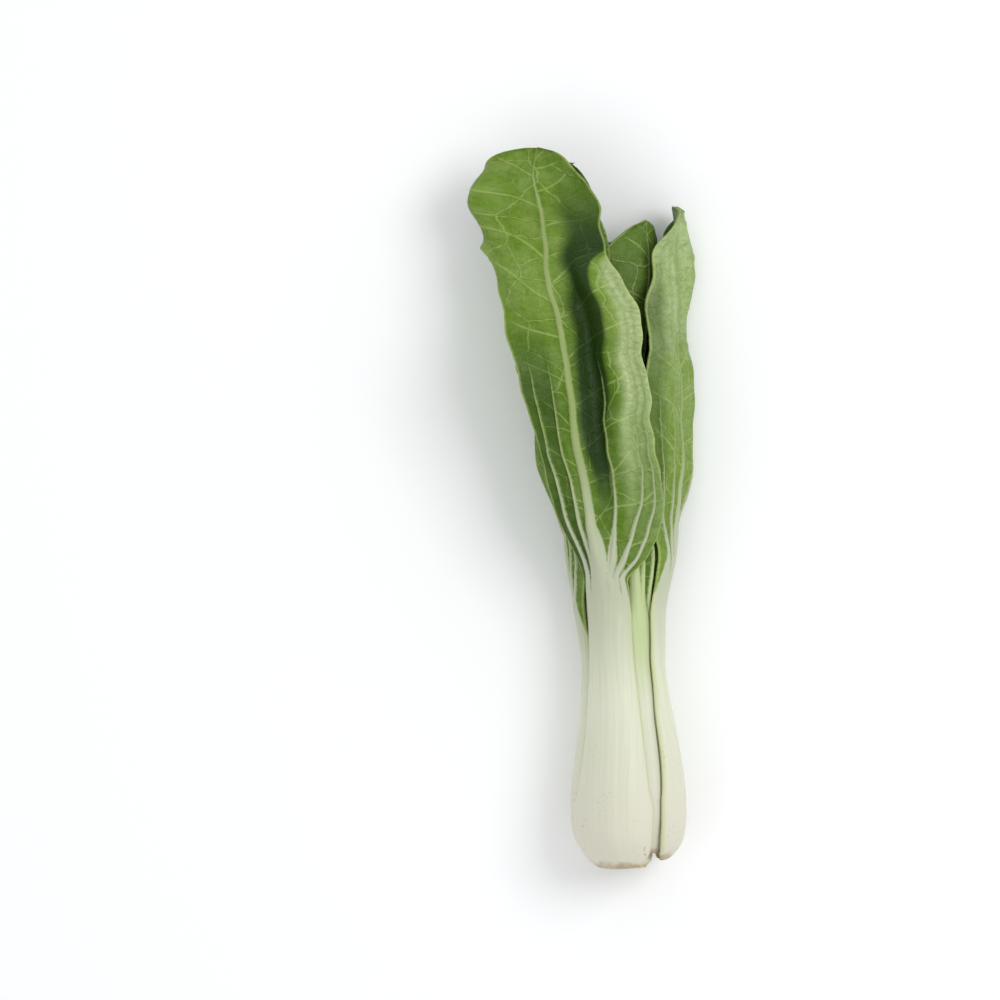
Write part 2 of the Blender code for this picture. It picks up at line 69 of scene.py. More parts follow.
# The head's cross-section: round at the stalks, and pressed wide and flat at the blades.
LEAN_STATIONS = (40 * mm, 85 * mm, 130 * mm, 180 * mm, 240 * mm, 291 * mm)
LEAN = (0, -1.9 * mm, -3.4 * mm, -7.3 * mm, -13.5 * mm, -20 * mm)  # the blades' end leans to the left
STALK_STRETCH_X, STALK_STRETCH_Z = 0.93, 0.96
BLADE_STRETCH_X = 2.05
BLADE_STRETCH_TOP, BLADE_STRETCH_BOTTOM = 0.8, 0.56
STRETCH_FROM, STRETCH_TO = 72 * mm, 215 * mm
HOLLOW_STATIONS = (85 * mm, 150 * mm, 200 * mm, 260 * mm, 291 * mm)
HOLLOW = (2.6 * mm, 4.5 * mm, 6.5 * mm, 11.5 * mm, 13 * mm)  # the radius that the leaves' tips leave

# Where the axis lies above the floor, at the cut end and at the far end.
AXIS_HEIGHT_CUT_END = 18.95 * mm
AXIS_HEIGHT_FAR_END = 18.5 * mm
SIDEWAYS_FALL = 0.08  # how far the blades hang down to the right
MIDDLE_X, MIDDLE_Y = -18.4 * mm, 145.5 * mm  # the middle of the head's box, put at the origin

# The table that the leaves are laid up in.
TABLE_LOW, TABLE_HIGH, TABLE_STEP = -4 * mm, 304 * mm, 1 * mm
TABLE_ANGLES = 360
ARC_REACH, ARC_STEP = 75 * mm, 0.5 * mm

# The fine relief that the plain solids leave out: heights, and the runs that they repeat over.
SWELL, SWELL_RUN = 0.22 * mm, 13 * mm  # all over a blade
FRILL, FRILL_RUN = 0.5 * mm, 15 * mm  # along its margin
MARGIN_WAVE, MARGIN_WAVE_RUN = 0.5 * mm, 17 * mm  # in the margin's outline
VEIN_HEIGHT, VEIN_HALF = 0.2 * mm, 0.8 * mm
VEIN_RUN = 17 * mm  # from one side vein of the midrib to the next
FLUTE, FLUTE_RUN = 0.1 * mm, 7.4 * mm  # broad and fine grooves along a stalk
GROOVE, GROOVE_RUN = 0.045 * mm, 2.3 * mm
CUT_DIP, CUT_DIP_RUN = 0.12 * mm, 6 * mm  # the crown's uneven cut face
CENTRE_DIP = 0.1 * mm
CUT_RINGS = 16
SHARP_DEG = 55
RIM_BULGE = 0.4  # how far a leaf's rounded rim stands out, as a share of its thickness
NOISE_APART = 97  # mm between the leaves in their noises, so that no two look alike

# The coarse rows and ribs that divide a leaf between its white solid and its green one.
STALK_ROWS = {
    0: (0, 0.15, 0.4),
    1: (0, 0.06, 0.15, 0.28, 0.43, 0.58, 0.74),
    2: (0, 0.03, 0.08, 0.14, 0.22, 0.33, 0.45, 0.57, 0.69, 0.81),
}
NOTCHES = (-7, 0, 6.5, 13)  # how far past the neck the green begins, in mm, from the margin inwards
NOTCH_DROP = 5  # mm from there down to the point where its colour begins
NOTCH_RUN = 15 * mm  # from that point up to where the ribs have their own widths
NOTCH_DEPTH = 9 * mm  # how deep in the white a place a whole run below the point is
MIDRIB_END = 0.86  # as a share of the blade's length
# Each side rib's share of the half width, at the neck and from a third of the way up the blade.
RIB_SHARES = {
    0: (),
    1: ((0.46, 0.6),),
    2: ((0.3, 0.4), (0.62, 0.76)),
    3: ((0.27, 0.42), (0.5, 0.8), (0.76, 0.92)),
}
RIB_SPREAD_BY = 0.32
RIB_ENDS = {0: (), 1: (0.5,), 2: (0.62, 0.6), 3: (0.6, 0.5, 0.36)}

# The painted shade in the valley right of the outermost leaf's midrib: its sides, as shares of the
# half width, at shares of the blade's length.
VALLEY_NEAR = ((0, 0.2, 0.42, 0.65, 0.9), (0.1, 0.12, 0.1, 0.2, 0.34))
VALLEY_FAR = ((0, 0.2, 0.42, 0.65, 0.7, 0.74, 0.78), (0.28, 0.34, 0.45, 0.54, 0.58, 0.74, 1.1))
# How dark the painted shade in the valley is.
VALLEY_PAINTED_SHADE = 1.3

# The studio: a bright floor under a bright sky, and two softboxes.
FLOOR_HALF, FLOOR_DROP = 2.5, 0.05 * mm
SKY, SKY_STRENGTH = (0.96, 0.98, 1.0, 1.0), 0.75
SOFTBOXES = (  # name, place, side and power
    ("key_softbox", (0.75, 0.35, 1.15), 0.7, 7.2),
    ("fill_softbox", (-0.8, -0.5, 1.2), 1.2, 2.5),
)

# The picture: straight down, through a long lens.
VIEW_WIDTH = 405 * mm  # across the picture, at the head's middle height
VIEW_CENTRE = (-33.0 * mm, 3.5 * mm)
VIEW_LEVEL = 25 * mm
CAMERA_DISTANCE = 2.6
SENSOR = 36.0


@dataclass(frozen=True)
class Leaf:
    """One leaf. Half widths run along its curve; side + is towards growing angle."""

    rank: int  # 0 is the outermost
    nudge_deg: float  # off the exact spiral, at the foot
    turn_deg: tuple  # how far its midrib swings round, by the blade's middle and by its tip
    foot: float
    neck: float
    tip: float
    stalk_half: float
    neck_half: float
    thick: float
    plus: tuple  # (share of the blade's length, half width in mm), up to where it starts to round off
    minus: tuple
    loose: float  # how far the blade stands off the leaves inside it
    ribs: tuple  # side ribs on the sides + and -
    blade_rows: int
    phase: float

    @property
    def name(self):
        return f"leaf_{self.rank + 1:02d}"

    @property
    def stoutness(self):
        """The stalk's thickness, as a share of the outermost leaf's."""
        return self.thick / LEAVES[0].thick


def even(low, middle, top, top_at=0.72):
    """One side of a blade that widens evenly and then rounds off."""
    return ((0.16, low), (0.45, middle), (top_at, top))


# The outermost leaf flares high up on its left, and ends in a lobe low down on its right.
FLARED = ((0.16, 13), (0.45, 14.5), (0.62, 17.5), (0.74, 22), (0.83, 26.5))
LOBED = (
    (0.06, 20), (0.12, 26), (0.17, 28), (0.28, 26), (0.45, 26.5), (0.62, 26), (0.7, 22.5),
    (0.765, 18), (0.85, 17.5),
)
# The second leaf is folded along its midrib, which is the head's right edge.
CLASPING = ((0.16, 18.5), (0.3, 21), (0.5, 23.5), (0.7, 21), (0.84, 15.5))


def leaf(rank, nudge, turn, lengths, stalk, sides, loose, ribs, rows, phase):
    """A leaf from sizes in millimetres."""
    sizes = (v * mm for v in (*lengths, *stalk))
    return Leaf(rank, nudge, turn, *sizes, *sides, loose * mm, ribs, rows, phase)


def both(*widths):
    """The two sides of a blade that is as wide on both."""
    return even(*widths), even(*widths)


LEAVES = [
    leaf(0, 0, (-8.5, 2), (0.6, 116, 291), (16.8, 8.8, 7.0), (FLARED, LOBED), 3.6, (2, 3), 17, 0.7),
    leaf(1, 29, (3, 3), (3.4, 124, 268), (17.2, 11.0, 6.0),
         (CLASPING, even(17, 20, 20, 0.8)), 1.4, (2, 2), 15, 0.6),
    leaf(2, 12, (-16, -16), (3.2, 106, 250), (16.4, 10.0, 6.4),
         (even(16, 20, 22), even(17, 23, 25)), 1.8, (2, 2), 15, 0.67),
    leaf(3, 0, (34, 39), (6.4, 104, 285), (15.8, 8.6, 6.0),
         (even(16, 19, 20), even(13, 13, 9)), 2.2, (2, 2), 15, 0.8),
    leaf(4, 0, (6, 6), (7.0, 110, 254), (15.8, 8.0, 6.0), both(19, 24, 26), 2.0, (2, 2), 15, 0.5),
    leaf(5, 0, (8, 8), (8.5, 108, 243), (14.6, 7.6, 5.4),
         (even(16, 20, 22), even(15, 20, 23)), 2.2, (2, 2), 14, 0.0),
    leaf(6, 0, (30, 34), (10.0, 104, 262), (13.0, 7.0, 5.0),
         (even(15, 20, 21), even(13, 17, 20)), 2.2, (1, 1), 15, 0.4),
    leaf(7, 0, (4, 4), (12.0, 94, 214), (11.2, 6.3, 4.4), both(12, 16, 18), 1.8, (1, 1), 12, 0.7),
    leaf(8, 0, (8, 8), (14.0, 78, 170), (8.8, 5.2, 3.6), both(8, 11, 12), 1.8, (1, 1), 10, 0.2),
    leaf(9, 0, (6, 6), (16.0, 60, 126), (6.6, 4.2, 2.8), both(6, 8, 8.5), 0.9, (1, 1), 8, 0.9),
    leaf(10, 0, (0, 0), (18.0, 44, 92), (4.6, 3.0, 2.2), both(3.8, 4.8, 5), 0.5, (0, 0), 7, 0.5),
]
SPRING = 6 * mm  # how far the second leaf's tip springs clear of the head
HEART_RANK = 8  # from this leaf inwards the blades are the pale ones of the heart


def ease(x, low, high):
    """0 below low, 1 above high, and smooth between."""
    t = np.clip((np.asarray(x, float) - low) / (high - low), 0, 1)
    return t * t * (3 - 2 * t)


def through(x, stations, values):
    """A smooth curve through the stations that never overshoots them."""
    xs, ys = np.asarray(stations, float), np.asarray(values, float)
    slopes = np.diff(ys) / np.diff(xs)
    tangents = np.zeros(len(xs))
    for i in range(1, len(xs) - 1):
        if slopes[i - 1] * slopes[i] > 0:
            tangents[i] = 2 * slopes[i - 1] * slopes[i] / (slopes[i - 1] + slopes[i])
    x = np.clip(x, xs[0], xs[-1])
    i = np.clip(np.searchsorted(xs, x, side="right") - 1, 0, len(xs) - 2)
    h = xs[i + 1] - xs[i]
    t = (x - xs[i]) / h
    return (
        ys[i] * (1 + 2 * t) * (1 - t) ** 2
        + ys[i + 1] * t * t * (3 - 2 * t)
        + h * t * (1 - t) * (tangents[i] * (1 - t) - tangents[i + 1] * t)
    )


def wander(seed, size, y, s=0.0):
    """A smooth seeded drift between about -1 and 1, with swells of about this size."""
    draw = np.random.default_rng(seed)
    total = 0
    for _ in range(5):
        turn, shift = draw.uniform(0, TURN, 2)
        length = size * draw.uniform(0.7, 1.6)
        total = total + np.sin(TURN * (y * math.cos(turn) + s * math.sin(turn)) / length + shift)
    return 0.4 * total


def crown_radius(y):
    """The crown swells a little above its cut, then tapers to the growing tip."""
    swell = through(y, (0, 3 * mm, 8 * mm), (CROWN_CUT_RADIUS, 0.9 * CROWN_RADIUS, CROWN_RADIUS))
    taper = ease(y, 2 * mm, CROWN_HEIGHT)
    return swell + (CROWN_TOP_RADIUS - CROWN_RADIUS) * taper


def heart_radius(y):
    """The crown's radius, and above it that of the hollow in the middle of the head."""
    return np.maximum(crown_radius(y), through(y, HOLLOW_STATIONS, HOLLOW))


def stretches(y, theta):
    """How much the cross-section is stretched across and up, at this station and angle."""
    flat = ease(y, STRETCH_FROM, STRETCH_TO)
    across = STALK_STRETCH_X + (BLADE_STRETCH_X - STALK_STRETCH_X) * flat
    end = np.where(np.sin(theta) > 0, BLADE_STRETCH_TOP, BLADE_STRETCH_BOTTOM)
    return across, STALK_STRETCH_Z + (end - STALK_STRETCH_Z) * flat


def place(y, theta, radius):
    """The point in space at this station, angle and radius."""
    across, up = stretches(y, theta)
    middle = through(y, LEAN_STATIONS, LEAN) - MIDDLE_X
    height = AXIS_HEIGHT_CUT_END + (AXIS_HEIGHT_FAR_END - AXIS_HEIGHT_CUT_END) * y / LEAVES[0].tip
    off = across * radius * np.cos(theta)
    height = height - SIDEWAYS_FALL * ease(y, STRETCH_FROM, STRETCH_TO) * off
    return np.stack([middle + off, y - MIDDLE_Y + 0 * off, height + up * radius * np.sin(theta)], -1)


def radial(y, theta, thickness):
    """The step in radius that is this thick, measured square to the stretched section."""
    across, up = stretches(y, theta)
    return thickness * np.sqrt((np.cos(theta) / across) ** 2 + (np.sin(theta) / up) ** 2)


def blade_share(part, y):
    """0 at the neck and below it, 1 at the tip."""
    return np.clip((y - part.neck) / (part.tip - part.neck), 0, 1)


def by_neck(part, length):
    """A length on the outermost leaf, scaled by the height of this leaf's neck."""
    return length * part.neck / LEAVES[0].neck


def midline(part, y):
    """The angle of the leaf's midrib, which swings round on the way up."""
    settled = part.neck + 0.45 * (part.tip - part.neck)
    first, last = part.turn_deg
    turn = first * ease(y, 60 * mm, settled) + (last - first) * ease(y, settled, part.tip)
    return np.radians(FIRST_LEAF_DEG - GOLDEN_DEG * part.rank + part.nudge_deg + turn)


def stalk_half_width(part, y):
    """The spoon at the foot, narrowing to the neck."""
    belly = part.foot + 24 * mm * part.stalk_half / LEAVES[0].stalk_half
    below = np.clip((belly - y) / (belly - part.foot), 0, 1)
    above = np.clip((y - belly) / (part.neck - belly), 0, 1)
    spoon = part.stalk_half * np.sqrt(1 - (0.945 * below) ** 3.6)
    return part.neck_half + (spoon - part.neck_half) * (1 - above) ** 2.3


def half_width(part, y, side):
    """Half the leaf's width along its curve on one side, +1 or -1, from foot to rounded tip."""
    shares, halves = zip(*(part.plus if side > 0 else part.minus))
    t = blade_share(part, y)
    blade = through(t, (0, *shares), (part.neck_half, *(v * mm for v in halves)))
    blade = blade + MARGIN_WAVE * wander((part.rank, side + 1), MARGIN_WAVE_RUN, y) * ease(t, 0.05, 0.2)
    end = np.clip((t - shares[-1]) / (1 - shares[-1]), 0, 1)
    round_end = np.sqrt(np.clip(1 - end**2, 0, 1))
    return np.where(y < part.neck, stalk_half_width(part, y), blade * round_end)


def width_at(part, y, s):
    """The leaf's half width on the side where this arc is."""
    return np.where(s >= 0, half_width(part, y, 1), half_width(part, y, -1))


def fanned(part, y):
    """0 down on the stalk and 1 up on the blade, where the stalk has spread into its ribs."""
    return ease(y, part.neck - 7 * mm, part.neck + 13 * mm)


def rib_height(part, y):
    """The thickness of stalk and midrib at the middle."""
    foot_run = 17 * mm
    rise = np.clip((y - part.foot) / foot_run, 0, 1)
    foot = 0.36 + 0.64 * np.sqrt(1 - (1 - rise) ** 2)
    stalk = part.thick * foot * (1 - 0.34 * ease(y, part.foot + foot_run, part.neck))
    t = blade_share(part, y)
    midrib = part.thick * 0.66 * (1 - t) ** 0.8 * (1 - 0.35 * ease(t, 0, 0.25))
    return np.maximum(np.where(y < part.neck, stalk, midrib), BLADE_THICK * 1.15)


def edge_thickness(part, y):
    return STALK_EDGE_THICK + (BLADE_THICK - STALK_EDGE_THICK) * ease(y, part.neck * 0.6, part.neck)


def lift(part, y, s):
    """How far the leaf stands off the leaves inside it, with its folds and waved margins."""
    side = np.where(s >= 0, 1.0, -1.0)
    v = np.clip(np.abs(s) / np.maximum(width_at(part, y, s), 2 * mm), 0, 1)
    t = blade_share(part, y)
    open_up = part.loose * ease(t, 0.0, 0.45)
    wave = np.sin(TURN * (2.6 * t + part.phase + 0.23 * side))
    sway = np.sin(TURN * (1.1 * t + 0.6 * part.phase) + 2.2 * side * v)
    off = open_up * (1 + 0.22 * sway + 0.55 * v * v * wave + 0.35 * v**3)
    if part.rank == 0:
        valley = np.exp(-(((v - 0.3) / 0.14) ** 2))
        ridge = np.exp(-(((v - 0.6) / 0.17) ** 2))
        fold = (2.0 * ridge - 0.95 * valley) * ease(t, 0.05, 0.3) * (1 - ease(t, 0.66, 0.8))
        flare = 8 * mm * ease(v, 0.3, 0.75) * np.exp(-(((t - 0.885) / 0.075) ** 2))
        off = off + np.where(s < 0, open_up * fold, flare)
    if part.rank == 1:
        off = off + SPRING * ease(t, 0.82, 1.0)
    return np.maximum(off, 0) + crinkle(part, y, s, v, t)


def crinkle(part, y, s, v, t):
    """The small swells of a blade, and the frill along its margin."""
    swell = SWELL * wander((part.rank, 7), SWELL_RUN, y, s)
    frill = FRILL * (1 + wander((part.rank, 8), FRILL_RUN, y, 0.3 * s)) * v**5
    return (swell + frill) * ease(t, 0.04, 0.2)


def body_height(part, y, s):
    """The broad swelling of stalk and midrib above the leaf's edge thickness."""
    wide = np.where(y < part.neck, stalk_half_width(part, y), part.neck_half)
    swell = np.clip(1 - (s / wide) ** 2, 0, 1) ** 0.85
    return np.maximum(rib_height(part, y) - edge_thickness(part, y), 0) * swell


def bridged(reach):
    """The reach with its dips filled, as a leaf that lies over them spans them."""
    for _ in range(30):
        near = np.roll(reach, 3, axis=1) + np.roll(reach, -3, axis=1)
        padded = np.pad(reach, ((1, 1), (0, 0)), mode="edge")
        reach = np.maximum(reach, (near + padded[2:] + padded[:-2]) / 4)
    padded = np.pad(reach, ((1, 1), (0, 0)), mode="edge")
    return np.maximum(reach, np.maximum(padded[2:], padded[:-2]))


def side_rib_height(part, y):
    """How far the side ribs stand above the blade, growing out of the stalk at the neck."""
    rib = 1.5 * mm * (1 - 0.8 * blade_share(part, y)) * part.stoutness
    return np.minimum(rib, 0.7 * (rib_height(part, y) - edge_thickness(part, y)))


class Layup:
    """The table of how far the head reaches so far, and the leaf that is laid on it next."""

    def __init__(self):
        self.y = np.arange(TABLE_LOW, TABLE_HIGH + TABLE_STEP / 2, TABLE_STEP)[:, None]
        self.theta = np.radians(np.arange(TABLE_ANGLES) * 360 / TABLE_ANGLES)[None, :]
        self.reach = heart_radius(self.y) + 0.2 * mm + 0 * self.theta

    def arcs(self, part):
        """The signed length along the curve from the leaf's midline, and half the way round."""
        points = place(self.y + 0 * self.theta, self.theta + 0 * self.y, self.reach)
        steps = np.linalg.norm(np.roll(points, -1, axis=1) - points, axis=2)
        run = np.concatenate([np.zeros((len(self.y), 1)), np.cumsum(steps, axis=1)], axis=1)
        around = run[:, -1:]
        turn = np.mod(midline(part, self.y), TURN) * TABLE_ANGLES / TURN
        i = np.floor(turn).astype(int) % TABLE_ANGLES
        low = np.take_along_axis(run, i, axis=1)
        high = np.take_along_axis(run, i + 1, axis=1)
        mid = low + (high - low) * (turn - np.floor(turn))
        return np.mod(run[:, :-1] - mid + around / 2, around) - around / 2, around / 2

    def sheet_of(self, part):
        """A function that gives the leaf's point at (station, arc, height above its inner face)."""
        arcs, _ = self.arcs(part)
        grid = np.arange(-ARC_REACH, ARC_REACH + ARC_STEP / 2, ARC_STEP)
        angles = np.empty((len(self.y), len(grid)))
        radii = np.empty_like(angles)
        for row in range(len(self.y)):
            order = np.argsort(arcs[row])
            turned = np.unwrap(self.theta[0, order])
            middle = float(midline(part, self.y[row, 0]))
            turned += TURN * round((middle - np.interp(0, arcs[row, order], turned)) / TURN)
            angles[row] = np.interp(grid, arcs[row, order], turned)
            radii[row] = np.interp(grid, arcs[row, order], self.reach[row, order])

        def point(y, s, height):
            at = (y - TABLE_LOW) / TABLE_STEP
            i = np.clip(np.floor(at).astype(int), 0, len(angles) - 2)
            across = (s + ARC_REACH) / ARC_STEP
            j = np.clip(np.floor(across).astype(int), 0, len(grid) - 2)
            f, g = at - i, across - j
            weights = ((1 - f) * (1 - g), (1 - f) * g, f * (1 - g), f * g)
            corners = ((i, j), (i, j + 1), (i + 1, j), (i + 1, j + 1))
            theta = sum(w * angles[c] for w, c in zip(weights, corners))
            radius = sum(w * radii[c] for w, c in zip(weights, corners))
            radius = radius + radial(y, theta, CLEARANCE + height + lift(part, y, s))
            return place(y, theta, radius)

        return point

    def add(self, part):
        """Lays the leaf on, easing the reach down beyond its margins."""
        s, half_round = self.arcs(part)
        y = np.clip(self.y, part.foot, part.tip)
        wide = width_at(part, y, s)
        wide = wide - np.maximum(self.y - part.tip, 0) - 5 * np.maximum(part.foot - 1 * mm - self.y, 0)
        soft = 4.5 * mm + 10 * mm * ease(self.y, part.neck, part.neck + 60 * mm)
        soft = np.clip(soft, 1 * mm, np.maximum(0.9 * (half_round - wide), 1 * mm))
        cover = ease(wide - np.abs(s), -soft, 0)
        inside = np.clip(s, -half_width(part, y, -1), half_width(part, y, 1))
        edge = radial(self.y, self.theta, CLEARANCE + edge_thickness(part, y) + lift(part, y, inside))
        past_tip = ease(self.y, part.tip, part.tip + 10 * mm)
        fade = ease(self.y, part.foot - 5 * mm, part.foot) * (1 - past_tip)
        fan = fanned(part, y) * ease(wide - np.abs(s), 0, 3 * mm)
        body = np.maximum(body_height(part, y, s), side_rib_height(part, y) * fan)
        body = radial(self.y, self.theta, body) * fade
        self.reach = bridged(self.reach + cover * edge + body)


def rib_half(part, y):
    """Half the width of a side rib."""
    wide = np.maximum(1.2 - 1.8 * blade_share(part, y), 0.4)
    return wide * mm * part.stoutness**0.5


def columns_at(part, y, side):
    """The arcs of the coarse columns on one side, from the midrib to the margin, on the last axis."""
    wide = half_width(part, y, side)
    t = blade_share(part, y)
    midrib = np.minimum((2.6 - 2.0 * t**0.6) * mm * part.stoutness, 0.3 * wide)
    marks = [0 * wide, midrib]
    count = part.ribs[0 if side > 0 else 1]
    spread = ease(t, 0, RIB_SPREAD_BY)
    for low, high in RIB_SHARES[count]:
        at = low + (high - low) * spread
        half = np.minimum(rib_half(part, y), 0.06 * wide)
        marks += [wide * at - half, wide * at + half]
    if count == 0:
        marks.append(0.6 * wide)
    marks = np.stack([*marks, wide], -1)
    level = wide[..., None] * np.linspace(0, 1, marks.shape[-1])
    fan = ease(y, part.neck - 18 * mm, part.neck + 4 * mm)[..., None]
    return (1 - fan) * level + fan * marks


def first_rows(part):
    """The stations of the coarse rows below the blade."""
    stalk = [part.foot + (part.neck - part.foot) * f for f in STALK_ROWS[min(part.ribs[0], 2)]]
    return np.array(stalk + [part.neck + by_neck(part, d * mm) for d in NOTCHES])


def station_at(part, row):
    """The station of a row, which may lie between two coarse ones."""
    low = first_rows(part)
    share = np.clip((row - (len(low) - 1)) / part.blade_rows, 0, 1)
    blade = low[-1] + (part.tip - low[-1]) * (1 - (1 - share) ** 1.35)
    return np.where(row < len(low) - 1, np.interp(row, np.arange(len(low)), low), blade)


def divided(counts):
    """Positions from 0 up, with each coarse step cut into its own count of fine ones."""
    steps = [k + n / count for k, count in enumerate(counts) for n in range(count)]
    return np.array([*steps, len(counts)])


def fine_rows(part):
    """The rows of the fine grid, as positions between the coarse ones."""
    coarse = station_at(part, np.arange(len(first_rows(part)) + part.blade_rows))
    return divided([max(2, math.ceil(run / CELL)) for run in np.diff(coarse)])


def fine_columns(part, side):
    """As many columns as the widest place needs, with a rib's middle always on one."""
    stations = np.linspace(part.foot, part.tip, 80)
    widest = np.diff(columns_at(part, stations, side), axis=-1).max(axis=0)
    counts = []
    for k, run in enumerate(widest):
        on_rib = k % 2 == 0
        counts.append(max(4, 2 * math.ceil(run / CELL / 2)) if on_rib else max(2, math.ceil(run / CELL)))
    return divided(counts)


def between(columns, at):
    """The arcs at positions between the coarse columns of the last axis."""
    low = np.minimum(np.floor(at).astype(int), columns.shape[-1] - 2)
    share = at - low
    return columns[..., low] * (1 - share) + columns[..., low + 1] * share


def fine_grid(part):
    """(stations, arcs, coarse row and coarse column of each cell) of the leaf's fine grid."""
    rows = fine_rows(part)
    station = station_at(part, rows)[:, None]
    t = blade_share(part, station)
    rise = 0.075 * (part.tip - part.neck) * ease(t, 0.05, 0.35) * (1 - ease(t, 0.6, 1.0))
    halves = []
    for side in (-1, 1):
        at = fine_columns(part, side)
        level = columns_at(part, station[:, 0], side)
        share = between(level, at) / np.maximum(level[:, -1:], 1 * mm)
        share[-1] = share[-2] / share[-2, -1]
        y = np.minimum(station + rise * share**1.2, part.tip)
        own = np.arange(len(at))
        s = between(columns_at(part, y, side), at)[:, own, own]
        s[-1] = share[-1] * TIP_HALF_WIDTH
        cells = np.floor((at[:-1] + at[1:]) / 2).astype(int)
        halves.append((y[:, :0:-1], -s[:, :0:-1], -1 - cells[::-1]) if side < 0 else (y, s, cells))
    ys, arcs, cell_columns = (np.concatenate(pair, -1) for pair in zip(*halves))
    return ys, arcs, np.floor((rows[:-1] + rows[1:]) / 2).astype(int), cell_columns


def white_cells(part, cell_rows, cell_columns):
    """Which cells are the white solid's: the stalk, the midrib, and the ribs that fan from the neck."""
    first_notch = len(STALK_ROWS[min(part.ribs[0], 2)])
    top = blade_share(part, station_at(part, cell_rows + 1))
    white = np.zeros((len(cell_rows), len(cell_columns)), bool)
    for j, column in enumerate(cell_columns):
        out = column if column >= 0 else -1 - column
        ribs = part.ribs[0 if column >= 0 else 1]
        rib, on_rib = divmod(out - 1, 2)
        if out == 0:
            white[:, j] = top < MIDRIB_END
        elif on_rib == 1 and rib < ribs:
            white[:, j] = top < RIB_ENDS[ribs][rib]
        else:
            low = max(ribs - (out - 1) // 2, 0)
            white[:, j] = cell_rows < first_notch + low
    return white


def ribs_of(part, y, side):
    """(arc of the middle, half width of the white) of each rib on one side, the midrib first."""
    t = blade_share(part, y)
    midrib = (3.4 - 3.0 * t**0.35) * mm * part.stoutness * (1 - ease(t, 0.85, 1.0))
    ribs = [(0 * y, midrib)]
    columns = columns_at(part, y, side)
    count = part.ribs[0 if side > 0 else 1]
    for k in range(count):
        middle = (columns[..., 2 + 2 * k] + columns[..., 3 + 2 * k]) / 2
        end = RIB_ENDS[count][k]
        full = 0.85 * rib_half(part, y) * (1 - 0.4 * ease(t, 0.04, 0.3)) * (1 - 0.1 * k)
        full = full * (1 - ease(t, end - 0.25, end + 0.14))
        thin = 0.2 * mm * (1 - ease(t, 0.3, 0.62))
        ribs.append((middle, np.maximum(full, thin) - 0.8 * mm * ease(t, 0.4, 0.66)))
    return ribs


def rib_edge(part, y, s):
    """How far a point is from the nearest white rib or the stalk, below 0 on it."""
    across = np.abs(s)
    found = np.zeros(s.shape)
    for side in (-1, 1):
        ribs = ribs_of(part, y, side)
        wide = half_width(part, y, side)
        away = np.min([np.abs(across - middle) - half for middle, half in ribs], axis=0)
        middles = [middle for middle, _ in ribs] + [wide]
        halves = [half for _, half in ribs] + [0]
        count = len(ribs) - 1
        for gap in range(count + 1):
            point = part.neck + by_neck(part, (NOTCHES[count - gap] - NOTCH_DROP) * mm)
            opening = np.clip((y - point) / by_neck(part, NOTCH_RUN), -1, 1)
            share = 1.0 if gap == count else 0.5
            peak = share * (middles[gap + 1] - halves[gap + 1] - middles[gap] - halves[gap])
            closed = (1 - opening) * np.maximum(peak, 0) + NOTCH_DEPTH * np.maximum(-opening, 0)
            here = (across >= middles[gap]) & (across < middles[gap + 1] + (gap == count))
            away = np.where(here, away - closed, away)
        found = np.where((s >= 0) == (side > 0), away, found)
    return found


def vein_phase(part, y, s):
    """A whole number on each side vein, which leaves the midrib at a slant and curves upward."""
    across = np.abs(s)
    drift = 2.2 * mm * wander((part.rank, 3), 30 * mm, y, s)
    stagger = np.where(s >= 0, 0.5, 0.0)
    return (y - 0.85 * across + 6.0 * across**2 + drift) / VEIN_RUN + stagger


def relief(part, y, s):
    """How far the outer face stands above the inner one."""
    edge = edge_thickness(part, y)
    fan = fanned(part, y)
    ridge = np.maximum(rib_height(part, y) - edge, 0)
    raised = np.zeros(s.shape)
    t = blade_share(part, y)
    for side in (-1, 1):
        for k, (middle, half) in enumerate(ribs_of(part, y, side)):
            tall = ridge if k == 0 else side_rib_height(part, y) * (1 - ease(t, 0.4, 0.75))
            shape = np.exp(-(((np.abs(s) - middle) / np.maximum(1.15 * half, 0.5 * mm)) ** 2))
            on_side = (s >= 0) == (side > 0)
            raised = np.where(on_side, np.maximum(raised, tall * shape), raised)
    away = 0.5 - np.abs(np.mod(vein_phase(part, y, s), 1) - 0.5)
    vein = VEIN_HEIGHT * np.exp(-((away * VEIN_RUN / VEIN_HALF) ** 2)) * ease(t, 0.02, 0.1)
    on_stalk = (1 - fan) * ease(y, part.foot + 4 * mm, part.foot + 22 * mm)
    flutes = FLUTE * np.cos(TURN * s / FLUTE_RUN + part.phase)
    winding = s + 0.4 * mm * wander(part.rank, 60 * mm, y)
    grooves = GROOVE * np.cos(TURN * winding / GROOVE_RUN)
    inside = ease(stalk_half_width(part, np.minimum(y, part.neck)) - np.abs(s), 0, 3 * mm)
    stalk = body_height(part, y, s) + (flutes + grooves) * on_stalk * inside
    return edge + (1 - fan) * stalk + fan * np.maximum(raised, vein)


